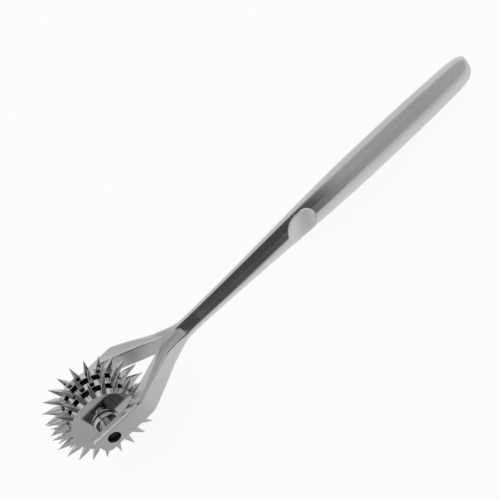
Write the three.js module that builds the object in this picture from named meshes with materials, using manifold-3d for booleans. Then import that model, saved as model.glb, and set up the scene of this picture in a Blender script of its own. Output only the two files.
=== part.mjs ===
// Hand instrument for testing skin feeling: a steel handle ends in a fork, and three
// spiked discs turn on a pin between the fork's arms. Millimetres, +Z up.
// The instrument lies on a flat surface, on its spikes and on the end of its handle.
// In its own frame +X runs along the handle and +Y along the pin, with the pin's middle
// at the origin.

import * as THREE from "three";
import { mergeVertices } from "three/addons/utils/BufferGeometryUtils.js";
import Module from "manifold-3d";

// Spiked discs
const disc_tip_diameter = 36;
const disc_root_diameter = 23.6;
const disc_thickness = 2.7;
const disc_spacing = 5.1;
const spike_count = 22;
const spike_width = 1.8;
const spike_thickness = 2.1;
const spike_foot_share = 0.8;
const spike_belly_share = 0.2;
const near_disc_turn = 2.7;
const middle_disc_turn = 13;
const far_disc_turn = 11.5;

// Pin, bushes and spacer rings
const pin_diameter = 3.8;
const pin_sink = 1.3;
const pin_chamfer = 0.3;
const running_gap = 0.3;
const hub_diameter = 9.2;
const hub_chamfer = 0.3;
const collar_length = 1.4;
const collar_rounding = 1;
const collar_steps = 3;
const sleeve_diameter = 5.4;
const round_sides = 44;

// Fork
const fork_span = 28.4;
const arm_thickness = 2.8;
const arm_height = 8;
const arm_end_reach = 5.8;
const arm_top_rounding = 0.8;
const arm_bottom_rounding = 2.6;
const arm_edge_rounding = 0.6;
const outer_bend_reach = 14.7;
const outer_bend_tangent = 1.7;
const inner_bend_reach = 9.5;
const crotch_reach = 32.2;
const crotch_width = 0.8;
const shoulder_reach = 29.5;
const shoulder_width = 11;
const arm_end_steps = 4;
const bend_steps = 3;
const slope_steps = 3;
const shoulder_steps = 8;
const shoulder_power = 3;
const rounding_power = 3;

// Neck and handle
const neck_reach = 45;
const neck_depth_reach = 37.5;
const neck_diameter = 6.1;
const handle_reach = 162;
const handle_width = 10.6;
const handle_depth = 10.4;
const handle_steps = 24;
const nose_length = 10;
const nose_steps = 8;
const nose_power = 3.6;
const nose_slant = 14;
const nose_end_share = 0.02;
const ring_sides = 7;

// Thumb scoop in the near side of the handle, as a grinding wheel leaves it
const scoop_reach = 88.7;
const scoop_length = 10;
const scoop_depth = 2.3;
const scoop_turn = 13;
const scoop_slant = 23;
const scoop_sides = 96;

const cut_overrun = 5;

// How far along from neck to nose, and how much of the way from neck to full width
const handle_shares = [
  [0, 0],
  [0.07, 0.08],
  [0.14, 0.165],
  [0.205, 0.28],
  [0.274, 0.43],
  [0.345, 0.565],
  [0.415, 0.69],
  [0.485, 0.82],
  [0.555, 0.93],
  [0.625, 0.99],
  [0.7, 1],
  [0.78, 0.995],
  [0.85, 0.975],
  [0.92, 0.9],
  [1, 0.76],
];

const radians = THREE.MathUtils.degToRad;
const wasm = await Module();
wasm.setup();

function solid_of(geometry) {
  const bare = new THREE.BufferGeometry();
  bare.setAttribute("position", geometry.getAttribute("position"));
  bare.setIndex(geometry.getIndex());
  const merged = mergeVertices(bare);
  return new wasm.Manifold(new wasm.Mesh({
    numProp: 3,
    vertProperties: new Float32Array(merged.getAttribute("position").array),
    triVerts: new Uint32Array(merged.getIndex().array),
  }));
}

function geometry_of(solid) {
  const mesh = solid.getMesh();
  const geometry = new THREE.BufferGeometry();
  geometry.setAttribute("position", new THREE.BufferAttribute(mesh.vertProperties, 3));
  geometry.setIndex(new THREE.BufferAttribute(mesh.triVerts, 1));
  geometry.computeVertexNormals();
  return geometry;
}

// Closed skin through rings of equally many points, from low x to high x
function loft(rings) {
  const sides = rings[0].length;
  const points = rings.flat();
  const faces = [];
  for (let row = 0; row + 1 < rings.length; row += 1) {
    for (let side = 0; side < sides; side += 1) {
      const here = row * sides + side;
      const beside = row * sides + (side + 1) % sides;
      faces.push(here, beside, here + sides, beside, beside + sides, here + sides);
    }
  }
  const ends = [rings[0], rings[rings.length - 1]];
  ends.forEach((ring, end) => {
    const middle = new THREE.Vector3();
    ring.forEach((point) => middle.add(point));
    points.push(middle.divideScalar(sides));
    const hub = points.length - 1;
    const first = end * (rings.length - 1) * sides;
    for (let side = 0; side < sides; side += 1) {
      const here = first + side;
      const beside = first + (side + 1) % sides;
      faces.push(hub, end ? here : beside, end ? beside : here);
    }
  });
  const geometry = new THREE.BufferGeometry().setFromPoints(points);
  geometry.setIndex(faces);
  return geometry;
}

// Section across the handle: a rectangle with rounded corners, an oval where they meet
function ring_at({ along, half_width, half_depth, rounding, lift = 0, slant = 0 }) {
  const points = [];
  const step = Math.PI / 2 / ring_sides;
  const corner_width = Math.min(rounding, half_width);
  const corner_depth = Math.min(rounding, half_depth);
  const spread = 1 / Math.cos(step / 2);
  for (let index = 0; index < 4 * ring_sides; index += 1) {
    const angle = (index + 0.5) * step;
    const y_side = Math.sign(Math.cos(angle));
    const z_side = Math.sign(Math.sin(angle));
    const y = y_side * (half_width - corner_width) + corner_width * Math.cos(angle) * spread;
    const z = z_side * (half_depth - corner_depth) + corner_depth * Math.sin(angle) * spread;
    points.push(new THREE.Vector3(along + slant * (y + z) / Math.SQRT2, y, z + lift));
  }
  return points;
}

function arm_rounding(along) {
  const start = outer_bend_reach - outer_bend_tangent;
  const share = THREE.MathUtils.clamp((along - start) / (crotch_reach + neck_diameter - start), 0, 1);
  return THREE.MathUtils.lerp(arm_edge_rounding, handle_width / 2, share ** rounding_power);
}

// How far a rounded corner of an arm's end draws its edge in, some way from the end
function corner_drop(reach, rounding) {
  const left = Math.max(rounding - reach, 0);
  return rounding - Math.sqrt(rounding ** 2 - left ** 2);
}

// Fork and neck as one filled outline, before the gap between the arms is cut
function fork_sections() {
  const sections = [];
  const add = (along, half_width, half_depth, lift = 0) => {
    sections.push({ along, half_width, half_depth, rounding: arm_rounding(along), lift });
  };
  const end_reaches = [0];
  for (const rounding of [arm_top_rounding, arm_bottom_rounding]) {
    for (let step = 0; step < arm_end_steps; step += 1) {
      end_reaches.push(rounding * (1 - Math.sin(Math.PI / 2 * step / arm_end_steps)));
    }
  }
  end_reaches.sort((one, other) => one - other);
  for (const reach of end_reaches) {
    const top = arm_height / 2 - corner_drop(reach, arm_top_rounding);
    const bottom = corner_drop(reach, arm_bottom_rounding) - arm_height / 2;
    add(reach - arm_end_reach, fork_span / 2, (top - bottom) / 2, (top + bottom) / 2);
  }
  const bend = new THREE.Vector2(outer_bend_reach, fork_span / 2);
  const shoulder = new THREE.Vector2(shoulder_reach, shoulder_width / 2);
  const before = new THREE.Vector2(outer_bend_reach - outer_bend_tangent, fork_span / 2);
  const after = bend.clone().lerp(shoulder, outer_bend_tangent / bend.distanceTo(shoulder));
  const curve = new THREE.QuadraticBezierCurve(before, bend, after);
  for (const point of curve.getPoints(bend_steps)) {
    add(point.x, point.y, arm_height / 2);
  }
  for (let step = 1; step < slope_steps; step += 1) {
    const point = after.clone().lerp(shoulder, step / slope_steps);
    add(point.x, point.y, arm_height / 2);
  }
  for (let step = 0; step < shoulder_steps; step += 1) {
    const share = step / shoulder_steps;
    const along = THREE.MathUtils.lerp(shoulder_reach, neck_reach, share);
    const fall = (1 - share) ** shoulder_power;
    const sink = THREE.MathUtils.smoothstep(along, shoulder_reach, neck_depth_reach);
    add(
      along,
      THREE.MathUtils.lerp(neck_diameter / 2, shoulder_width / 2, fall),
      THREE.MathUtils.lerp(arm_height / 2, neck_diameter / 2, sink),
    );
  }
  return sections;
}

function handle_sections() {
  const nose_reach = handle_reach - nose_length;
  const knots = handle_shares.map(([along, swell]) => new THREE.Vector2(
    THREE.MathUtils.lerp(neck_reach, nose_reach, along),
    swell,
  ));
  const sections = [];
  const add = (along, swell, scale, slant) => {
    const half_width = THREE.MathUtils.lerp(neck_diameter, handle_width, swell) / 2 * scale;
    const half_depth = THREE.MathUtils.lerp(neck_diameter, handle_depth, swell) / 2 * scale;
    sections.push({ along, half_width, half_depth, rounding: handle_width, slant });
  };
  for (const point of new THREE.SplineCurve(knots).getPoints(handle_steps)) {
    add(point.x, point.y, 1, 0);
  }
  const last_swell = handle_shares[handle_shares.length - 1][1];
  for (let step = 1; step <= nose_steps; step += 1) {
    const angle = Math.PI / 2 * step / nose_steps;
    const reach = Math.sin(angle) ** (2 / nose_power);
    const scale = Math.max(Math.cos(angle), nose_end_share) ** (2 / nose_power);
    add(nose_reach + nose_length * reach, last_swell, scale, reach * Math.tan(radians(nose_slant)));
  }
  return sections;
}

// Gap between the fork's arms, seen from above: straight, then narrowing to the crotch
function fork_gap() {
  const half_gap = fork_span / 2 - arm_thickness;
  const outline = new THREE.Shape();
  outline.moveTo(-arm_end_reach - cut_overrun, -half_gap);
  outline.lineTo(inner_bend_reach, -half_gap);
  outline.lineTo(crotch_reach, -crotch_width / 2);
  outline.lineTo(crotch_reach, crotch_width / 2);
  outline.lineTo(inner_bend_reach, half_gap);
  outline.lineTo(-arm_end_reach - cut_overrun, half_gap);
  outline.closePath();
  const depth = arm_height + 2 * cut_overrun;
  const geometry = new THREE.ExtrudeGeometry(outline, { depth, bevelEnabled: false });
  return geometry.translate(0, 0, -depth / 2);
}

function axle_hole() {
  const radius = pin_diameter / 2 + running_gap;
  const length = fork_span + 2 * cut_overrun;
  return new THREE.CylinderGeometry(radius, radius, length, round_sides);
}

// Wheel that cuts the scoop, flat across and hollow along: its size follows from the scoop's
// length and depth, and it stands a little askew
function scoop_wheel() {
  const radius = ((scoop_length / 2) ** 2 + scoop_depth ** 2) / (2 * scoop_depth);
  const swell = THREE.MathUtils.inverseLerp(neck_reach, handle_reach - nose_length, scoop_reach);
  const knot = handle_shares.findIndex(([along]) => along > swell);
  const [low, high] = [handle_shares[knot - 1], handle_shares[knot]];
  const share = THREE.MathUtils.inverseLerp(low[0], high[0], swell);
  const fullness = THREE.MathUtils.lerp(low[1], high[1], share);
  const half_width = THREE.MathUtils.lerp(neck_diameter, handle_width, fullness) / 2;
  const away = half_width - scoop_depth + radius;
  const geometry = new THREE.CylinderGeometry(radius, radius, 2 * handle_width, scoop_sides);
  geometry.rotateX(Math.PI / 2).rotateY(radians(scoop_slant)).translate(0, -away, 0);
  return geometry.rotateX(radians(-scoop_turn)).translate(scoop_reach, 0, 0);
}

function handle_fork_geometry() {
  const rings = [...fork_sections(), ...handle_sections()].map(ring_at);
  const filled = solid_of(loft(rings));
  const cutters = [fork_gap(), axle_hole(), scoop_wheel()];
  return geometry_of(cutters.reduce((body, cutter) => body.subtract(solid_of(cutter)), filled));
}

// Disc that turns about Y: each spike stands on the rim, swells to its belly and tapers to a tip
function disc_geometry(turn) {
  const root = disc_root_diameter / 2;
  const tip_reach = disc_tip_diameter / 2;
  const belly = THREE.MathUtils.lerp(root, tip_reach, spike_belly_share);
  const bore = pin_diameter / 2 + running_gap;
  const foot_angle = Math.asin(spike_foot_share * spike_width / 2 / root);
  const belly_angle = Math.asin(spike_width / 2 / belly);
  const side = disc_thickness / 2;
  const foot_side = spike_thickness / 2;
  const belly_side = foot_side * (1 - spike_belly_share);
  const points = [];
  const at = (radius, angle, y) => new THREE.Vector3(
    radius * Math.cos(angle),
    y,
    radius * Math.sin(angle),
  );
  for (let spike = 0; spike < spike_count; spike += 1) {
    const middle = radians(turn) + 2 * Math.PI * spike / spike_count;
    for (const turned of [-1, 1]) {
      const angle = middle + turned * foot_angle;
      points.push(at(bore, angle, -side), at(root, angle, -side), at(root, angle, -foot_side));
      points.push(at(root, angle, foot_side), at(root, angle, side), at(bore, angle, side));
      const belly_place = middle + turned * belly_angle;
      points.push(at(belly, belly_place, -belly_side), at(belly, belly_place, belly_side));
    }
    points.push(at(tip_reach, middle, 0));
  }
  const faces = [];
  const quad = (a, b, c, d) => faces.push(a, c, b, a, d, c);
  // Each side of a spike has six points round the disc's section, then two on its belly
  const section_count = 6;
  const belly_count = 2;
  const edge_count = section_count + belly_count;
  const stride = 2 * edge_count + 1;
  const foot = section_count / 2 - 1;
  for (let spike = 0; spike < spike_count; spike += 1) {
    const low = spike * stride;
    const high = low + edge_count;
    const tip = high + edge_count;
    const next = (spike + 1) % spike_count * stride;
    for (const [from, to] of [[low, high], [high, next]]) {
      for (let corner = 0; corner < section_count; corner += 1) {
        const beside = (corner + 1) % section_count;
        if (from === high || corner !== foot) {
          quad(from + corner, to + corner, to + beside, from + beside);
        }
      }
    }
    const feet = [low + foot, high + foot, high + foot + 1, low + foot + 1];
    const bellies = [low, high, high + 1, low + 1].map((corner) => corner + section_count);
    feet.forEach((corner, index) => {
      const beside = (index + 1) % feet.length;
      quad(corner, feet[beside], bellies[beside], bellies[index]);
      faces.push(bellies[index], tip, bellies[beside]);
    });
  }
  const geometry = new THREE.BufferGeometry().setFromPoints(points);
  geometry.setIndex(faces);
  return geometry;
}

// Ring that turns about Y, with small chamfers on its outer edges
function hub_ring_geometry(length) {
  const inside = pin_diameter / 2 + running_gap;
  const outside = hub_diameter / 2;
  const half = length / 2;
  const outline = [
    [inside, -half],
    [outside - hub_chamfer, -half],
    [outside, hub_chamfer - half],
    [outside, half - hub_chamfer],
    [outside - hub_chamfer, half],
    [inside, half],
    [inside, -half],
  ];
  return new THREE.LatheGeometry(outline.map(([r, y]) => new THREE.Vector2(r, y)), round_sides);
}

// Bush that turns about Y: a slim sleeve with a rounded collar at its high end
function bush_geometry(length) {
  const inside = pin_diameter / 2 + running_gap;
  const outside = hub_diameter / 2;
  const half = length / 2;
  const outline = [
    [inside, -half],
    [sleeve_diameter / 2, -half],
    [sleeve_diameter / 2, half - collar_length],
  ];
  for (let step = 0; step <= collar_steps; step += 1) {
    const angle = Math.PI / 2 * step / collar_steps;
    outline.push([
      outside - collar_rounding * (1 - Math.sin(angle)),
      half - collar_length + collar_rounding * (1 - Math.cos(angle)),
    ]);
  }
  outline.push([outside, half], [inside, half], [inside, -half]);
  return new THREE.LatheGeometry(outline.map(([r, y]) => new THREE.Vector2(r, y)), round_sides);
}

function pin_geometry() {
  const radius = pin_diameter / 2;
  const half = fork_span / 2 - pin_sink;
  const outline = [
    [0, -half],
    [radius - pin_chamfer, -half],
    [radius, pin_chamfer - half],
    [radius, half - pin_chamfer],
    [radius - pin_chamfer, half],
    [0, half],
  ];
  return new THREE.LatheGeometry(outline.map(([r, y]) => new THREE.Vector2(r, y)), round_sides);
}

const polished_steel = { color: 0xc9cbcd, roughness: 0.12, metalness: 1 };
const dark_steel = { color: 0x3c3a38, roughness: 0.45, metalness: 1 };

const instrument = new THREE.Group();

function add_piece(name, geometry, finish, y) {
  const piece = new THREE.Mesh(geometry, new THREE.MeshStandardMaterial(finish));
  piece.name = name;
  piece.position.y = y;
  instrument.add(piece);
}

const disc_gap = disc_spacing - disc_thickness;
const outer_disc_face = disc_spacing + disc_thickness / 2;
const arm_inner_face = fork_span / 2 - arm_thickness;
const bush_length = arm_inner_face - outer_disc_face - 2 * running_gap;
const bush_middle = (arm_inner_face + outer_disc_face) / 2;
const spacer_length = disc_gap - 2 * running_gap;

add_piece("handle_fork", handle_fork_geometry(), polished_steel, 0);
add_piece("near_disc", disc_geometry(near_disc_turn), polished_steel, -disc_spacing);
add_piece("middle_disc", disc_geometry(middle_disc_turn), polished_steel, 0);
add_piece("far_disc", disc_geometry(far_disc_turn), polished_steel, disc_spacing);
add_piece("near_spacer", hub_ring_geometry(spacer_length), polished_steel, -disc_spacing / 2);
add_piece("far_spacer", hub_ring_geometry(spacer_length), polished_steel, disc_spacing / 2);
add_piece("near_bush", bush_geometry(bush_length), polished_steel, -bush_middle);
add_piece("far_bush", bush_geometry(bush_length).rotateX(Math.PI), polished_steel, bush_middle);
add_piece("axle_pin", pin_geometry(), dark_steel, 0);

// The instrument leans until the handle's underside meets the surface that the spikes stand on
const leans = handle_sections().map(({ along, half_depth }) => {
  const reach = Math.hypot(along, half_depth);
  return Math.asin(disc_tip_diameter / 2 / reach) - Math.atan2(half_depth, along);
});
instrument.rotation.y = Math.min(...leans);

// The origin is under the middle of the whole part, on the surface that it lies on
const lying = new THREE.Group();
lying.add(instrument);
lying.updateMatrixWorld(true);
const extent = new THREE.Box3().setFromObject(lying, true);
const middle = extent.getCenter(new THREE.Vector3());
instrument.position.set(-middle.x, -middle.y, -extent.min.z);

export default lying;
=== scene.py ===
import math

import bmesh
import bpy
import numpy as np
from mathutils import Matrix, Vector


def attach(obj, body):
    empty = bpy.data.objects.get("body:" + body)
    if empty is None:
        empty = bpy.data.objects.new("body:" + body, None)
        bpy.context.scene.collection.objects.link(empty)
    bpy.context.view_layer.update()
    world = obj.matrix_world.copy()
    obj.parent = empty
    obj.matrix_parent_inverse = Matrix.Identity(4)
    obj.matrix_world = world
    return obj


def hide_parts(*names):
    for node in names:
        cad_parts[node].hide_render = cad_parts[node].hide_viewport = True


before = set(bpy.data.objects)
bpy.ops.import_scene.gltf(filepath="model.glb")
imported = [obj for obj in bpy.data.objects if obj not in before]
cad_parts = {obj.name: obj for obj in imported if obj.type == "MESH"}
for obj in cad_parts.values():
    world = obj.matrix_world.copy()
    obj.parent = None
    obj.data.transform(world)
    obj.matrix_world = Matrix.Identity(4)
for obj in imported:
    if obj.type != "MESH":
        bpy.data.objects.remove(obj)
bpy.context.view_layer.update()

# Lengths are in millimetres in the instrument's own frame: +X runs along the handle and
# +Y along the pin, with the pin's middle at the origin. Angles are in degrees.
MM = 0.001

# Spiked discs
disc_tip_diameter = 36
disc_root_diameter = 23.6
disc_thickness = 2.7
disc_spacing = 5.1
disc_edge_rounding = 0.16
disc_sides = 176
disc_turns = {"near_disc": 2.7, "middle_disc": 13, "far_disc": 11.5}
disc_places = {"near_disc": -disc_spacing, "middle_disc": 0, "far_disc": disc_spacing}

# Spikes: thorns with four rounded edges, whose feet flare a little where they meet the rim
spike_count = 22
spike_width = 1.8
spike_thickness = 2.1
spike_foot_share = 0.8
spike_belly_share = 0.2
spike_taper_power = 1.08
spike_edge_rounding = 0.14
spike_roundings_across = 2.5
spike_tip_width = 0.12
spike_root_sink = 0.5
spike_foot_blend = 0.3
spike_flare_rise = spike_foot_blend / 3
spike_flare_left = spike_foot_blend / 4
spike_steps = 14
spike_step_power = 1.3
spike_corner_points = 4

# Pin, bushes and spacer rings
pin_diameter = 3.8
pin_sink = 1.3
pin_dome = 0.35
pin_dome_steps = 8
pin_sides = 64
running_gap = 0.3
hub_diameter = 9.2
hub_edge_rounding = 0.35
hub_sides = 96
ring_rounding_steps = 4
collar_length = 1.4
collar_rounding = 1
collar_steps = 10
sleeve_diameter = 5.4
bush_chamfer = hub_edge_rounding / 3

# Fork
fork_span = 28.4
arm_thickness = 2.8
arm_height = 8
arm_end_reach = 5.8
arm_end_steps = 10
arm_top_rounding = 0.8
arm_bottom_rounding = 2.6
arm_edge_rounding = 0.6
arm_rounding_power = 2
outer_bend_reach = 14.7
outer_bend_tangent = 1.7
outer_bend_steps = 10
slope_steps = 12
inner_bend_reach = 9.5
inner_bend_tangent = 1.4
inner_bend_steps = 8
inner_edge_rounding = 0.7
inner_edge_steps = 6
hole_edge_chamfer = 0.15
crotch_reach = 32.2
crotch_width = 0.8
shoulder_reach = 29.5
shoulder_width = 11
shoulder_power = 3
shoulder_steps = 40

# Neck, and where its section flows from the fork's flat faces to the round handle
neck_reach = 45
neck_diameter = 6.1
neck_depth_reach = 37.5
neck_rows = 40
flow_start_reach = 25
flow_full_reach = 31
flow_end_reach = 38
flow_power = 6

# Handle
handle_reach = 162
handle_width = 10.6
handle_depth = 10.4
handle_rows = 50
nose_length = 10
nose_power = 3.6
nose_slant = 14
nose_end_share = 0.02
nose_steps = 28
handle_smoothing = 3.5
smoothing_spans = 4
profile_overrun = 30
profile_samples = 1061

# Thumb scoop, as a grinding wheel leaves it
scoop_reach = 88.7
scoop_length = 10
scoop_depth = 2.3
scoop_turn = 13
scoop_slant = 23
scoop_rows = 100
scoop_edge_blend = 0.16
scoop_wheel_radius = ((scoop_length / 2) ** 2 + scoop_depth ** 2) / (2 * scoop_depth)

# Meshes
quarter_sides = 20
cut_overrun = 5
merge_distance = 1e-5
handle_merge_distance = 1e-4
handle_sharp_angle = 50
turned_sharp_angle = 60
bush_sharp_angle = 40
flat_face_weight = 60

# Handle's fullness, 0 at the neck's width and 1 at the full width, at shares of its length
handle_shares = [
    (0, 0), (0.07, 0.08), (0.14, 0.165), (0.205, 0.28), (0.274, 0.43), (0.345, 0.565),
    (0.415, 0.69), (0.485, 0.82), (0.555, 0.93), (0.625, 0.99), (0.7, 1), (0.78, 0.995),
    (0.85, 0.975), (0.92, 0.9), (1, 0.76),
]


def lerp(low, high, share):
    return low + (high - low) * share


def clamp(share):
    return min(max(share, 0), 1)


def smooth(share):
    share = clamp(share)
    return share * share * (3 - 2 * share)


nose_reach = handle_reach - nose_length
profile_along = np.linspace(
    neck_reach - profile_overrun, nose_reach + profile_overrun, profile_samples
)


# The fullness along the handle, smoothed so that reflections run clean
def smoothed_profile():
    knots = np.array([lerp(neck_reach, nose_reach, along) for along, _ in handle_shares])
    swells = np.array([swell for _, swell in handle_shares])
    first_slope = (swells[1] - swells[0]) / (knots[1] - knots[0])
    last_slope = (swells[-1] - swells[-2]) / (knots[-1] - knots[-2])
    raw = np.interp(profile_along, knots, swells)
    before = profile_along < knots[0]
    after = profile_along > knots[-1]
    raw[before] = swells[0] + first_slope * (profile_along[before] - knots[0])
    raw[after] = swells[-1] + last_slope * (profile_along[after] - knots[-1])
    step = profile_along[1] - profile_along[0]
    reach = int(smoothing_spans * handle_smoothing / step)
    offsets = np.arange(-reach, reach + 1) * step
    weights = np.exp(-0.5 * (offsets / handle_smoothing) ** 2)
    weights /= weights.sum()
    return np.convolve(np.pad(raw, reach, mode="edge"), weights, mode="valid")


profile_swell = smoothed_profile()


def swell_at(along):
    return float(np.interp(along, profile_along, profile_swell))


def half_width_at(along):
    return lerp(neck_diameter, handle_width, swell_at(along)) / 2


def half_depth_at(along):
    return lerp(neck_diameter, handle_depth, swell_at(along)) / 2


# The instrument leans until spikes and handle end both touch the floor, as in the CAD
def lean_of_instrument():
    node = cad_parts["axle_pin"]
    places = np.array([vertex.co for vertex in node.data.vertices])
    middle = (places.max(0) + places.min(0)) / 2
    reach = disc_tip_diameter / 2
    leans = []
    for along, _, half_depth, *_ in handle_sections():
        length = math.hypot(along, half_depth)
        leans.append(math.asin(reach / length) - math.atan2(half_depth, along))
    return min(leans), Vector([float(value) for value in middle])


def arm_rounding(along):
    start = outer_bend_reach - outer_bend_tangent
    share = clamp((along - start) / (crotch_reach + neck_diameter - start))
    return lerp(arm_edge_rounding, handle_width / 2, share ** arm_rounding_power)


# How far a rounded corner of an arm's end draws its edge in, some way from the end
def corner_drop(reach, rounding):
    left = max(rounding - reach, 0)
    return rounding - math.sqrt(rounding ** 2 - left ** 2)


# Place on a bend that starts at one point, turns round a second and ends at a third
def bend_point(before, bend, after, share):
    return (1 - share) ** 2 * before + 2 * share * (1 - share) * bend + share ** 2 * after


# Sections are (along, half width, half depth, corner rounding, slant, lift)
def arm_end_sections():
    reaches = {0}
    for rounding in (inner_edge_rounding, arm_top_rounding, arm_bottom_rounding):
        for step in range(arm_end_steps):
            reaches.add(rounding * (1 - math.sin(math.pi / 2 * step / arm_end_steps)))
    sections = []
    for reach in sorted(reaches):
        top = arm_height / 2 - corner_drop(reach, arm_top_rounding)
        bottom = corner_drop(reach, arm_bottom_rounding) - arm_height / 2
        along = reach - arm_end_reach
        middle = (top + bottom) / 2
        half_width = fork_span / 2 - corner_drop(reach, inner_edge_rounding)
        sections.append((along, half_width, top - middle, arm_rounding(along), 0, middle))
    return sections


def fork_sections():
    bend = np.array([outer_bend_reach, fork_span / 2])
    shoulder = np.array([shoulder_reach, shoulder_width / 2])
    before = np.array([outer_bend_reach - outer_bend_tangent, fork_span / 2])
    after = lerp(bend, shoulder, outer_bend_tangent / np.linalg.norm(shoulder - bend))
    places = []
    for step in range(outer_bend_steps + 1):
        places.append(bend_point(before, bend, after, step / outer_bend_steps))
    for step in range(1, slope_steps):
        places.append(lerp(after, shoulder, step / slope_steps))
    sections = arm_end_sections()
    for along, half_width in places:
        sections.append((along, half_width, arm_height / 2, arm_rounding(along), 0, 0))
    for step in range(shoulder_steps):
        share = step / shoulder_steps
        along = lerp(shoulder_reach, neck_reach, share)
        fall = (1 - share) ** shoulder_power
        half_width = lerp(neck_diameter / 2, shoulder_width / 2, fall)
        deep = smooth((along - shoulder_reach) / (neck_depth_reach - shoulder_reach))
        half_depth = lerp(arm_height / 2, neck_diameter / 2, deep)
        sections.append((along, half_width, half_depth, arm_rounding(along), 0, 0))
    return sections


def handle_sections():
    sections = []
    scoop_low = scoop_reach - scoop_length
    scoop_high = scoop_reach + scoop_length
    places = list(np.linspace(neck_reach, scoop_low, neck_rows, endpoint=False))
    places += list(np.linspace(scoop_low, scoop_high, scoop_rows, endpoint=False))
    places += list(np.linspace(scoop_high, nose_reach, handle_rows))
    for along in places:
        sections.append((along, half_width_at(along), half_depth_at(along), handle_width, 0, 0))
    for step in range(1, nose_steps + 1):
        angle = math.pi / 2 * step / nose_steps
        reach = math.sin(angle) ** (2 / nose_power)
        scale = max(math.cos(angle), nose_end_share) ** (2 / nose_power)
        along = nose_reach + nose_length * reach
        slant = smooth(reach) * math.tan(math.radians(nose_slant))
        half_width = half_width_at(along) * scale
        half_depth = half_depth_at(along) * scale
        sections.append((along, half_width, half_depth, handle_width, slant, 0))
    return sections


lean, axle_place = lean_of_instrument()
to_row = (
    Matrix.Translation(axle_place)
    @ Matrix.Rotation(lean, 4, "Y")
    @ Matrix.Scale(MM, 4)
)


# Middle and axis of the wheel that cuts the scoop
def scoop_wheel():
    away = half_width_at(scoop_reach) - scoop_depth + scoop_wheel_radius
    turn = Matrix.Rotation(math.radians(-scoop_turn), 3, "X")
    slant = Matrix.Rotation(math.radians(scoop_slant), 3, "Y")
    middle = Vector((scoop_reach, 0, 0)) + turn @ Vector((0, -away, 0))
    return middle, turn @ slant @ Vector((0, 0, 1))


scoop_middle, scoop_axis = scoop_wheel()


# How deep a place lies inside the scoop's wheel
def scoop_share(place):
    from_middle = place - scoop_middle
    return scoop_wheel_radius - (from_middle - scoop_axis * from_middle.dot(scoop_axis)).length


# Radius along one direction of a section, cut back softly by the scoop's wheel
def scoop_cut(along, y, z):
    reach = math.hypot(y, z)
    if reach == 0:
        return y, z
    start = Vector((along, 0, 0)) - scoop_middle
    start -= scoop_axis * start.dot(scoop_axis)
    side = Vector((0, y / reach, z / reach))
    side -= scoop_axis * side.dot(scoop_axis)
    half_linear = side.dot(start)
    outside = start.length_squared - scoop_wheel_radius ** 2
    inside = half_linear ** 2 - side.length_squared * outside
    if inside <= 0 or half_linear >= 0:
        return y, z
    cut = (-half_linear - math.sqrt(inside)) / side.length_squared
    blend = clamp(0.5 + 0.5 * (cut - reach) / scoop_edge_blend)
    kept = lerp(cut, reach, blend) - scoop_edge_blend * blend * (1 - blend)
    return y * kept / reach, z * kept / reach


# Section of the neck that flows from the fork's flat faces to the round handle
def flow_point(along, half_width, half_depth, angle):
    left = 1 - clamp((along - flow_start_reach) / (flow_end_reach - flow_start_reach))
    power = 2 / lerp(2, flow_power, left)
    y = math.copysign(half_width * abs(math.cos(angle)) ** power, math.cos(angle))
    z = math.copysign(half_depth * abs(math.sin(angle)) ** power, math.sin(angle))
    return y, z


# Points round one section, with its corners rounded
def ring_points(section):
    along, half_width, half_depth, rounding, slant, lift = section
    corner_width = min(rounding, half_width)
    corner_depth = min(rounding, half_depth)
    near_scoop = abs(along - scoop_reach) < scoop_length
    flow = smooth((along - flow_start_reach) / (flow_full_reach - flow_start_reach))
    if along > neck_reach:
        flow = 0
    points = []
    for corner in range(4):
        for index in range(quarter_sides + 1):
            angle = math.pi / 2 * (corner + index / quarter_sides)
            y_side = 1 if corner in (0, 3) else -1
            z_side = 1 if corner in (0, 1) else -1
            y = y_side * (half_width - corner_width) + corner_width * math.cos(angle)
            z = z_side * (half_depth - corner_depth) + corner_depth * math.sin(angle)
            if flow > 0:
                flow_y, flow_z = flow_point(along, half_width, half_depth, angle)
                y = lerp(y, flow_y, flow)
                z = lerp(z, flow_z, flow)
            if near_scoop:
                y, z = scoop_cut(along, y, z)
            points.append((along + slant * (y + z) / math.sqrt(2), y, z + lift))
    return points


def mesh_object(name, points, faces):
    mesh = bpy.data.meshes.new(name)
    mesh.from_pydata(points, [], faces)
    mesh.update()
    piece = bpy.data.objects.new(name, mesh)
    bpy.context.scene.collection.objects.link(piece)
    return piece


# Faces between rings of points that follow one another, and the two that close the ends
def skin_faces(ring_total, sides, start=0):
    faces = []
    for row in range(ring_total - 1):
        for side in range(sides):
            here = start + row * sides + side
            beside = start + row * sides + (side + 1) % sides
            faces.append((here, beside, beside + sides, here + sides))
    last = start + (ring_total - 1) * sides
    faces.append(tuple(reversed(range(start, start + sides))))
    faces.append(tuple(range(last, last + sides)))
    return faces


def merge_doubles(piece, distance):
    shape = bmesh.new()
    shape.from_mesh(piece.data)
    bmesh.ops.remove_doubles(shape, verts=shape.verts, dist=distance)
    bmesh.ops.recalc_face_normals(shape, faces=shape.faces)
    shape.to_mesh(piece.data)
    shape.free()


def loft(name, rings, distance):
    points = [point for ring in rings for point in ring]
    piece = mesh_object(name, points, skin_faces(len(rings), len(rings[0])))
    merge_doubles(piece, distance)
    return piece


# Turns an outline of (radius, y) places about the Y axis
def lathe(name, outline, sides):
    points = []
    for index in range(sides):
        angle = 2 * math.pi * index / sides
        for radius, y in outline:
            points.append((radius * math.cos(angle), y, radius * math.sin(angle)))
    count = len(outline)
    faces = []
    for index in range(sides):
        other = (index + 1) % sides
        for step in range(count - 1):
            faces.append((
                index * count + step, index * count + step + 1,
                other * count + step + 1, other * count + step,
            ))
    piece = mesh_object(name, points, faces)
    merge_doubles(piece, merge_distance)
    return piece


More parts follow.
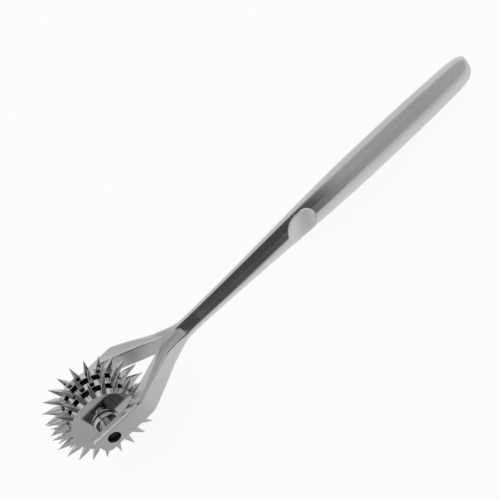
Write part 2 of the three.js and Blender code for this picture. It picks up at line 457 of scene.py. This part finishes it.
# Modifiers are put into the mesh, so that each piece is plain geometry
def apply_modifiers(piece):
    bpy.context.view_layer.update()
    graph = bpy.context.evaluated_depsgraph_get()
    shaped = bpy.data.meshes.new_from_object(
        piece.evaluated_get(graph), preserve_all_data_layers=True, depsgraph=graph
    )
    old = piece.data
    piece.modifiers.clear()
    piece.data = shaped
    shaped.name = piece.name
    bpy.data.meshes.remove(old)


def cut_away(piece, cutter):
    cut = piece.modifiers.new("cut", "BOOLEAN")
    cut.operation = "DIFFERENCE"
    cut.solver = "EXACT"
    cut.object = cutter
    apply_modifiers(piece)
    bpy.data.objects.remove(cutter)


# Smooth shading with large flat faces kept flat
def shade(piece, sharp_angle):
    for face in piece.data.polygons:
        face.use_smooth = True
    shape = bmesh.new()
    shape.from_mesh(piece.data)
    for edge in shape.edges:
        if len(edge.link_faces) == 2:
            edge.smooth = edge.calc_face_angle(0) < math.radians(sharp_angle)
    shape.to_mesh(piece.data)
    shape.free()
    weighted = piece.modifiers.new("weighted", "WEIGHTED_NORMAL")
    weighted.keep_sharp = True
    weighted.weight = flat_face_weight
    apply_modifiers(piece)


def finish_piece(piece, body, nodes, material):
    piece.data.transform(to_row)
    piece.data.update()
    piece.data.materials.clear()
    piece.data.materials.append(material)
    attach(piece, body)
    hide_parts(*nodes)


# A node of some kind with its settings. Its inputs take plain values or other nodes' outputs.
def add_node(tree, kind, inputs=None, **settings):
    node = tree.nodes.new(kind)
    for name, value in settings.items():
        setattr(node, name, value)
    for slot, value in (inputs or {}).items():
        if isinstance(value, bpy.types.NodeSocket):
            tree.links.new(value, node.inputs[slot])
        else:
            node.inputs[slot].default_value = value
    return node


def empty_tree(owner):
    owner.use_nodes = True
    owner.node_tree.nodes.clear()
    return owner.node_tree


def math_node(tree, operation, *values):
    inputs = dict(enumerate(values))
    return add_node(tree, "ShaderNodeMath", inputs, operation=operation).outputs["Value"]


def ramp(tree, value, low, high, from_value, to_value, shape="SMOOTHSTEP"):
    inputs = {
        "Value": value,
        "From Min": low,
        "From Max": high,
        "To Min": from_value,
        "To Max": to_value,
    }
    node = add_node(tree, "ShaderNodeMapRange", inputs, interpolation_type=shape)
    return node.outputs["Result"]


# A place or direction in the instrument's own frame, without its lean
def unleaned(tree, place):
    inputs = {"Vector": place, "Angle": -lean}
    node = add_node(tree, "ShaderNodeVectorRotate", inputs, rotation_type="Y_AXIS")
    return node.outputs["Vector"]


def stretched(tree, place, scale):
    return add_node(tree, "ShaderNodeMapping", {"Vector": place, "Scale": scale}).outputs["Vector"]


def noise(tree, place, scale, detail, roughness):
    inputs = {"Vector": place, "Scale": scale, "Detail": detail, "Roughness": roughness}
    return add_node(tree, "ShaderNodeTexNoise", inputs).outputs["Fac"]


def color_blend(tree, share, first, second):
    inputs = {"Factor": share, "A": first, "B": second}
    return add_node(tree, "ShaderNodeMix", inputs, data_type="RGBA").outputs["Result"]


# How far a face carries one of the marks that mark_finish() leaves, 0 where it has none
def marked(tree, name):
    return add_node(tree, "ShaderNodeAttribute", attribute_name=name).outputs["Fac"]


# Steel: smudges vary its gloss and tone, and a fine grain its gloss and surface
smudge_scale = 90
smudge_detail = 6
smudge_roughness = 0.62
smudge_range = (0.35, 0.68)
smudge_tone_share = 0.92
grain_detail = 3
grain_roughness = 0.6
satin_roughness = 0.36
frost_roughness = 0.3
# Painted sheen: the paler colour of frosted faces
painted_sheen_color = (0.74, 0.74, 0.74, 1)
# Painted shade: the dark colour laid where shade and dark reflections fall
painted_shade_color = (0.2, 0.2, 0.2, 1)
mottle_scale = 2200
mottle_detail = 3
mottle_roughness = 0.5
mottle_share = 0.5
wave_scale = (12, 700, 700)
wave_detail = 1
wave_roughness = 0.5


# Satin faces reflect more softly, mottled ones have a coarser skin, frosted ones are rougher and
# painted paler as a painted sheen, and painted shade darkens its faces. Waves are the long,
# shallow ones that polishing leaves along the handle.
def steel(name, color, roughness, spread, grain_scale, grain_depth, wave_share=0):
    material = bpy.data.materials.new(name)
    tree = empty_tree(material)
    place = unleaned(tree, add_node(tree, "ShaderNodeTexCoord").outputs["Object"])
    smudge = noise(tree, place, smudge_scale, smudge_detail, smudge_roughness)
    grain = noise(tree, stretched(tree, place, grain_scale), 1, grain_detail, grain_roughness)
    frost_and_sheen = marked(tree, "frost_and_sheen")

    gloss = ramp(tree, smudge, *smudge_range, roughness, roughness + spread, "LINEAR")
    gloss = math_node(tree, "MULTIPLY_ADD", marked(tree, "satin"), satin_roughness, gloss)
    gloss = math_node(tree, "MULTIPLY_ADD", frost_and_sheen, frost_roughness, gloss)
    gloss = math_node(tree, "MULTIPLY_ADD", grain, spread, gloss)

    mottle = noise(tree, place, mottle_scale, mottle_detail, mottle_roughness)
    patches = math_node(tree, "MULTIPLY", mottle, marked(tree, "mottled"))
    height = math_node(tree, "MULTIPLY_ADD", patches, mottle_share, grain)
    if wave_share:
        wave = noise(tree, stretched(tree, place, wave_scale), 1, wave_detail, wave_roughness)
        height = math_node(tree, "MULTIPLY_ADD", wave, wave_share, height)
    bump = add_node(
        tree, "ShaderNodeBump", {"Strength": 1, "Distance": grain_depth, "Height": height}
    )

    smudged = [value * smudge_tone_share for value in color]
    tone = color_blend(tree, smudge, (*color, 1), (*smudged, 1))
    # Painted sheen: frosted faces are painted paler
    tone = color_blend(tree, frost_and_sheen, tone, painted_sheen_color)
    # Painted shade: marked faces are painted darker
    tone = color_blend(tree, marked(tree, "dull"), tone, painted_shade_color)
    shader = add_node(tree, "ShaderNodeBsdfPrincipled", {
        "Metallic": 1,
        "Base Color": tone,
        "Roughness": gloss,
        "Normal": bump.outputs["Normal"],
    })
    add_node(tree, "ShaderNodeOutputMaterial", {"Surface": shader.outputs["BSDF"]})
    return material


handle_steel = steel("handle_steel", (0.645, 0.645, 0.645), 0.05, 0.03, (30, 1100, 1100), 4e-6, 9)
disc_steel = steel("disc_steel", (0.61, 0.61, 0.61), 0.05, 0.05, (900, 900, 900), 2e-6)
hub_steel = steel("hub_steel", (0.6, 0.6, 0.6), 0.1, 0.05, (300, 4000, 300), 2e-6)
# The pin's near-black colour is painted shade in the arms' holes, not the steel's own tone
pin_painted_shade_steel = steel("pin_painted_shade_steel", (0.05, 0.048, 0.045), 0.4, 0.15, (900, 900, 900), 6e-6)


# Half of the outline of the gap between the arms, from their ends to the crotch
def gap_outline():
    half_gap = fork_span / 2 - arm_thickness
    start = -arm_end_reach - cut_overrun
    bend = np.array([inner_bend_reach, half_gap])
    tip = np.array([crotch_reach, crotch_width / 2])
    before = np.array([inner_bend_reach - inner_bend_tangent, half_gap])
    after = lerp(bend, tip, inner_bend_tangent / np.linalg.norm(tip - bend))
    upper = [np.array([start, half_gap])]
    for step in range(inner_bend_steps + 1):
        upper.append(bend_point(before, bend, after, step / inner_bend_steps))
    upper.append(tip)
    return upper


# The outline moved out sideways by some distance, as a list of points round the whole gap
def wider_outline(upper, distance):
    moved = []
    for index, place in enumerate(upper):
        one = upper[max(index - 1, 0)]
        other = upper[min(index + 1, len(upper) - 1)]
        along = (other - one) / np.linalg.norm(other - one)
        moved.append(place + distance * np.array([-along[1], along[0]]))
    moved[-1] = moved[-1] + np.array([distance, 0])
    return [tuple(place) for place in moved] + [(x, -y) for x, y in reversed(moved)]


# Cutter for the gap between the arms, flared at top and bottom to round the arms' edges
def gap_cutter():
    upper = gap_outline()
    flares = []
    for step in range(inner_edge_steps + 1):
        angle = math.pi / 2 * step / inner_edge_steps
        flares.append((
            arm_height / 2 - inner_edge_rounding * (1 - math.sin(angle)),
            inner_edge_rounding * (1 - math.cos(angle)),
        ))
    flares.append((arm_height / 2 + cut_overrun, inner_edge_rounding))
    layers = [(-height, wider) for height, wider in reversed(flares)] + flares
    rings = []
    for height, wider in layers:
        rings.append([(float(x), float(y), height) for x, y in wider_outline(upper, wider)])
    return loft("gap_cutter", rings, merge_distance)


# Cutter for the hole through both arms, a little wider where it meets their outer faces
def hole_cutter():
    radius = pin_diameter / 2 + running_gap
    outer = fork_span / 2
    wide = radius + hole_edge_chamfer
    half = [(radius, outer - hole_edge_chamfer), (wide, outer), (wide, outer + cut_overrun)]
    outline = [(0, -outer - cut_overrun)]
    outline += [(x, -y) for x, y in reversed(half)] + half
    outline.append((0, outer + cut_overrun))
    return lathe("hole_cutter", outline, hub_sides)


# Limits of the faces and stretches that mark_finish() tells apart, and how strong each mark is
level_face_limit = 0.1
outer_face_turn_limit = 0.6
outer_face_satin_share = 0.3
top_face_start = 0.75
top_face_span = 0.2
top_satin_share = 0.5
# Painted shade on the top faces near the crotch: how dark, and where it starts
top_painted_shade_share = 0.35
top_painted_shade_reach = 27
top_finish_end = 39
top_finish_fade = 5
nose_satin_share = 0.7
# Frost at the nose's end, rougher and with a painted sheen
nose_frost_and_sheen_reach = 136
nose_frost_and_sheen_share = 0.6


# How the handle's faces are finished, with painted light among the marks. The sloped arms' inner
# faces are satin and mottled, the fork's other faces less so, the scoop is satin and frosted with
# a painted sheen, painted shade lies on the arms' inner faces in the slots beside the discs and on
# the top faces near the crotch, and the polish gets softer towards the nose, whose end is frosted
# with a painted sheen. The two flat end faces of the arms look to neither side, so rounding alone
# decides whether one of them counts as an inner face.
def mark_finish(handle):
    mesh = handle.data
    names = ("satin", "mottled", "frost_and_sheen", "dull")
    for name in names:
        mesh.attributes.new(name, "FLOAT", "CORNER")
    satin, mottled, frost_and_sheen, dull = (mesh.attributes[name].data for name in names)
    for face in mesh.polygons:
        middle = face.center
        turn = face.normal
        level = abs(turn.z) < level_face_limit
        inner_face = level and middle.x < crotch_reach and turn.y * middle.y < 0
        outer_face = level and middle.x < shoulder_reach and abs(turn.x) < outer_face_turn_limit
        topped = smooth((turn.z - top_face_start) / top_face_span)
        for corner in face.loop_indices:
            place = mesh.vertices[mesh.loops[corner].vertex_index].co
            along = clamp((place.x - neck_reach) / (handle_reach - neck_reach))
            value = nose_satin_share * smooth(along)
            if inner_face:
                value = smooth(middle.x / inner_bend_reach)
                mottled[corner].value = value
                # Painted shade on the inner faces in the slots beside the discs
                dull[corner].value = 1 - value
            elif outer_face:
                value = outer_face_satin_share
                mottled[corner].value = value
            elif topped:
                fading = smooth((top_finish_end - place.x) / top_finish_fade)
                rising = smooth((place.x - inner_bend_reach) / top_finish_fade)
                shade_rising = smooth((place.x - top_painted_shade_reach) / top_finish_fade)
                value = top_satin_share * topped * rising * fading
                mottled[corner].value = value
                # Painted shade on the top faces near the crotch
                dull[corner].value = top_painted_shade_share * topped * shade_rising * fading
            scooped = smooth(0.5 + scoop_share(place) / scoop_edge_blend / 2)
            nose = (place.x - nose_frost_and_sheen_reach) / (handle_reach - nose_frost_and_sheen_reach)
            satin[corner].value = lerp(value, 1, scooped)
            # Painted sheen on the scoop and the nose's end, along with their frost
            frost_and_sheen[corner].value = max(scooped, nose_frost_and_sheen_share * smooth(nose))


def make_handle():
    rings = [ring_points(section) for section in fork_sections() + handle_sections()]
    handle = loft("fork_and_handle", rings, handle_merge_distance)
    cut_away(handle, gap_cutter())
    cut_away(handle, hole_cutter())
    merge_doubles(handle, handle_merge_distance)
    shade(handle, handle_sharp_angle)
    mark_finish(handle)
    finish_piece(handle, "handle", ["handle_fork"], handle_steel)


# Rings of a spike as (radius, width, thickness), from inside the rim to the tip
def spike_rings():
    root = disc_root_diameter / 2
    tip = disc_tip_diameter / 2
    rings = []
    for step in range(spike_steps + 1):
        share = (step / spike_steps) ** spike_step_power
        if share < spike_belly_share:
            width = spike_width * lerp(spike_foot_share, 1, smooth(share / spike_belly_share))
        else:
            rest = (share - spike_belly_share) / (1 - spike_belly_share)
            width = lerp(spike_width, spike_tip_width, rest ** spike_taper_power)
        thick = lerp(spike_thickness, spike_tip_width, share ** spike_taper_power)
        rings.append((lerp(root, tip, share), width, thick))
    _, width, thick = rings[0]
    flares = (
        (root - spike_root_sink, spike_foot_blend),
        (root, spike_foot_blend),
        (root + spike_flare_rise, spike_flare_left),
    )
    foot = [(radius, width + wider, thick + wider) for radius, wider in flares]
    return foot + [ring for ring in rings if ring[0] > root + spike_foot_blend]


def spike_points(middle):
    points = []
    for radius, width, thick in spike_rings():
        corner = min(spike_edge_rounding, min(width, thick) / spike_roundings_across)
        for quarter in range(4):
            for index in range(spike_corner_points):
                angle = math.pi / 2 * (quarter + index / (spike_corner_points - 1))
                u_side = 1 if quarter in (0, 3) else -1
                v_side = 1 if quarter in (0, 1) else -1
                u = u_side * (width / 2 - corner) + corner * math.cos(angle)
                v = v_side * (thick / 2 - corner) + corner * math.sin(angle)
                x = radius * math.cos(middle) - u * math.sin(middle)
                z = radius * math.sin(middle) + u * math.cos(middle)
                points.append((x, v, z))
    return points


# Outline of a ring for the lathe, with its two outer edges rounded
def rounded_ring(inside, outside, half, rounding):
    low_edge = []
    for step in range(ring_rounding_steps + 1):
        angle = math.pi / 2 * (1 - step / ring_rounding_steps)
        low_edge.append((
            outside - rounding * (1 - math.cos(angle)),
            rounding * (1 - math.sin(angle)) - half,
        ))
    high_edge = [(radius, -y) for radius, y in reversed(low_edge)]
    return [(inside, -half)] + low_edge + high_edge + [(inside, half), (inside, -half)]


# Disc: a turned body with rounded edges, and its spikes sunk in the rim
def make_disc(node, body):
    bore = pin_diameter / 2 + running_gap
    outline = rounded_ring(bore, disc_root_diameter / 2, disc_thickness / 2, disc_edge_rounding)
    disc = lathe(f"{node}_steel", outline, disc_sides)
    points = []
    faces = []
    ring_total = len(spike_rings())
    for spike in range(spike_count):
        middle = math.radians(disc_turns[node]) + 2 * math.pi * spike / spike_count
        faces += skin_faces(ring_total, 4 * spike_corner_points, len(points))
        points += spike_points(middle)
    spikes = mesh_object("spikes", points, faces)
    merge_doubles(spikes, merge_distance)
    shape = bmesh.new()
    shape.from_mesh(disc.data)
    shape.from_mesh(spikes.data)
    shape.to_mesh(disc.data)
    shape.free()
    bpy.data.objects.remove(spikes)
    shade(disc, turned_sharp_angle)
    disc.data.transform(Matrix.Translation((0, disc_places[node], 0)))
    finish_piece(disc, body, [node], disc_steel)


def make_spacer(node, place):
    inside = pin_diameter / 2 + running_gap
    outline = rounded_ring(inside, hub_diameter / 2, spacer_length / 2, hub_edge_rounding)
    spacer = lathe(f"{node}_steel", outline, hub_sides)
    shade(spacer, turned_sharp_angle)
    spacer.data.transform(Matrix.Translation((0, place, 0)))
    finish_piece(spacer, "handle", [node], hub_steel)


# Bush: a slim sleeve, with a domed collar at the end towards the disc
def make_bush(node, place):
    inside = pin_diameter / 2 + running_gap
    outside = hub_diameter / 2
    sleeve = sleeve_diameter / 2
    half = bush_length / 2
    shoulder = half - collar_length
    outline = [
        (inside, -half),
        (sleeve - bush_chamfer, -half),
        (sleeve, bush_chamfer - half),
        (sleeve, shoulder - bush_chamfer),
        (sleeve + bush_chamfer, shoulder),
    ]
    for step in range(collar_steps + 1):
        angle = math.pi / 2 * step / collar_steps
        outline.append((
            outside - collar_rounding * (1 - math.sin(angle)),
            shoulder + collar_rounding * (1 - math.cos(angle)),
        ))
    outline += [
        (outside, half - bush_chamfer),
        (outside - bush_chamfer, half),
        (inside, half),
        (inside, -half),
    ]
    bush = lathe(f"{node}_steel", outline, hub_sides)
    shade(bush, bush_sharp_angle)
    if place > 0:
        bush.data.transform(Matrix.Rotation(math.pi, 4, "X"))
    bush.data.transform(Matrix.Translation((0, place, 0)))
    finish_piece(bush, "handle", [node], hub_steel)


# Pin: domed ends, each a little inside the arms' outer faces, in a near-black steel that paints
# the shade in the holes
def make_pin():
    radius = pin_diameter / 2
    half = fork_span / 2 - pin_sink
    outline = [(0, -half)]
    for step in range(1, pin_dome_steps + 1):
        angle = math.pi / 2 * step / pin_dome_steps
        outline.append((radius * math.sin(angle), pin_dome * (1 - math.cos(angle)) - half))
    outline += [(x, -y) for x, y in reversed(outline)]
    pin = lathe("axle_pin_steel", outline, pin_sides)
    shade(pin, turned_sharp_angle)
    finish_piece(pin, "handle", ["axle_pin"], pin_painted_shade_steel)


disc_gap = disc_spacing - disc_thickness
outer_disc_face = disc_spacing + disc_thickness / 2
arm_inner_face = fork_span / 2 - arm_thickness
bush_length = arm_inner_face - outer_disc_face - 2 * running_gap
bush_middle = (arm_inner_face + outer_disc_face) / 2
spacer_length = disc_gap - 2 * running_gap

make_handle()
make_disc("near_disc", "near_wheel")
make_disc("middle_disc", "middle_wheel")
make_disc("far_disc", "far_wheel")
make_spacer("near_spacer", -disc_spacing / 2)
make_spacer("far_spacer", disc_spacing / 2)
make_bush("near_bush", -bush_middle)
make_bush("far_bush", bush_middle)
make_pin()

# Camera: the photograph's, found from the discs' rims, the spikes and the fork's edges
photo_width = 500
focal_pixels = 1120.7
camera_turn_vector = Vector((2.2309, -0.8397, -0.4633))
camera_shift = Vector((-49.1, 51.77, 366.02))
camera_sensor_width = 36
camera_nearest = 0.01


def add_camera():
    angle = camera_turn_vector.length
    turn = Matrix.Rotation(angle, 3, camera_turn_vector / angle)
    lean_turn = Matrix.Rotation(lean, 3, "Y")
    right, down, ahead = (lean_turn @ row for row in turn)
    place = to_row @ -(turn.transposed() @ camera_shift)
    camera = bpy.data.objects.new("camera", bpy.data.cameras.new("camera"))
    camera.matrix_world = Matrix((
        (right.x, -down.x, -ahead.x, place.x),
        (right.y, -down.y, -ahead.y, place.y),
        (right.z, -down.z, -ahead.z, place.z),
        (0, 0, 0, 1),
    ))
    camera.data.sensor_width = camera_sensor_width
    camera.data.lens = focal_pixels / photo_width * camera_sensor_width
    camera.data.clip_start = camera_nearest
    bpy.context.scene.collection.objects.link(camera)
    bpy.context.scene.camera = camera


add_camera()


# Floor: near white to the camera, with the shadow kept. In reflections it glows as a pale sheet
# with painted light that falls off to the front and the left, and a painted shadow in front of the
# fork.
# Its ranges are in metres on the floor.
floor_half_width = 3.0
floor_color = (0.93, 0.93, 0.93, 1)
floor_glow_share = 0.9
floor_reflected_level = 0.98
# Painted falloff of the light to the left, then a painted shadow in front of the fork
floor_left_level = 0.5
floor_shadow_level = 0.06
floor_left_range = (-0.1, -0.02)
floor_shadow_range = (-0.03, -0.018)
floor_shadow_side = (-0.03, 0.004)
floor_shadow_slope_share = -0.28
floor_front_range = (-0.012, 0.012)
floor_front_fall = 0.26
floor_front_reach = 0.02


def add_floor():
    half = floor_half_width
    corners = [(-half, -half, 0), (half, -half, 0), (half, half, 0), (-half, half, 0)]
    floor = mesh_object("floor", corners, [(0, 1, 2, 3)])
    material = bpy.data.materials.new("pale_floor")
    tree = empty_tree(material)
    place = add_node(tree, "ShaderNodeTexCoord").outputs["Object"]
    parts = add_node(tree, "ShaderNodeSeparateXYZ", {"Vector": place})
    across = parts.outputs["X"]
    depth = parts.outputs["Y"]
    squared = math_node(tree, "POWER", depth, 2)
    spread = math_node(tree, "ADD", squared, floor_front_reach ** 2)
    share = math_node(tree, "DIVIDE", squared, spread)
    fall = math_node(tree, "MULTIPLY", share, floor_front_fall)
    right = math_node(tree, "SUBTRACT", floor_reflected_level, fall)
    left = ramp(tree, across, *floor_left_range, floor_left_level, right)
    shadowed = ramp(tree, across, *floor_shadow_side, floor_shadow_level, right)
    sloped = math_node(tree, "MULTIPLY", across, floor_shadow_slope_share)
    ahead = math_node(tree, "ADD", depth, sloped)
    front = ramp(tree, ahead, *floor_shadow_range, shadowed, left)
    level = ramp(tree, depth, *floor_front_range, front, floor_reflected_level)
    path = add_node(tree, "ShaderNodeLightPath")
    seen = path.outputs["Is Camera Ray"]
    strength = math_node(tree, "MAXIMUM", level, seen)
    either = math_node(tree, "MAXIMUM", seen, path.outputs["Is Glossy Ray"])
    paint = add_node(tree, "ShaderNodeBsdfDiffuse", {"Color": floor_color})
    glow = add_node(tree, "ShaderNodeEmission", {"Strength": strength})
    mix = add_node(tree, "ShaderNodeMixShader", {
        "Fac": math_node(tree, "MULTIPLY", either, floor_glow_share),
        1: paint.outputs["BSDF"],
        2: glow.outputs["Emission"],
    })
    add_node(tree, "ShaderNodeOutputMaterial", {"Surface": mix.outputs["Shader"]})
    floor.data.materials.append(material)


add_floor()

# Studio round the instrument, as shiny surfaces see it: a white tent, a grey wall in front
# and a dark card that the neck mirrors. Ends are shares of the way from the front horizon,
# over the top, to the horizon behind. Edges are in X of the direction looked in.
tent_level = 1
wall_level = 0.6
card_level = 0.1
wall_end = (0.6, 0.75)
card_end = (0.7, 0.8)
card_left_edge = (-0.25, -0.2)
card_right_edge = (-0.1, 0)


def add_world():
    world = bpy.data.worlds.new("studio")
    bpy.context.scene.world = world
    tree = empty_tree(world)
    direction = unleaned(tree, add_node(tree, "ShaderNodeTexCoord").outputs["Generated"])
    parts = add_node(tree, "ShaderNodeSeparateXYZ", {"Vector": direction})
    toward_near = math_node(tree, "MULTIPLY", parts.outputs["Y"], -1)
    height = math_node(tree, "ARCTAN2", parts.outputs["Z"], toward_near)
    height = math_node(tree, "DIVIDE", height, math.pi)
    across = parts.outputs["X"]
    wall = ramp(tree, height, *wall_end, wall_level, tent_level)
    card = ramp(tree, height, *card_end, card_level, tent_level)
    level = ramp(tree, across, *card_left_edge, tent_level, card)
    level = ramp(tree, across, *card_right_edge, level, wall)
    shiny = add_node(tree, "ShaderNodeLightPath").outputs["Is Glossy Ray"]
    level = ramp(tree, shiny, 0, 1, 1, level)
    background = add_node(tree, "ShaderNodeBackground", {"Strength": level})
    add_node(tree, "ShaderNodeOutputWorld", {"Surface": background.outputs["Background"]})


add_world()

bpy.context.scene.view_settings.view_transform = "Standard"
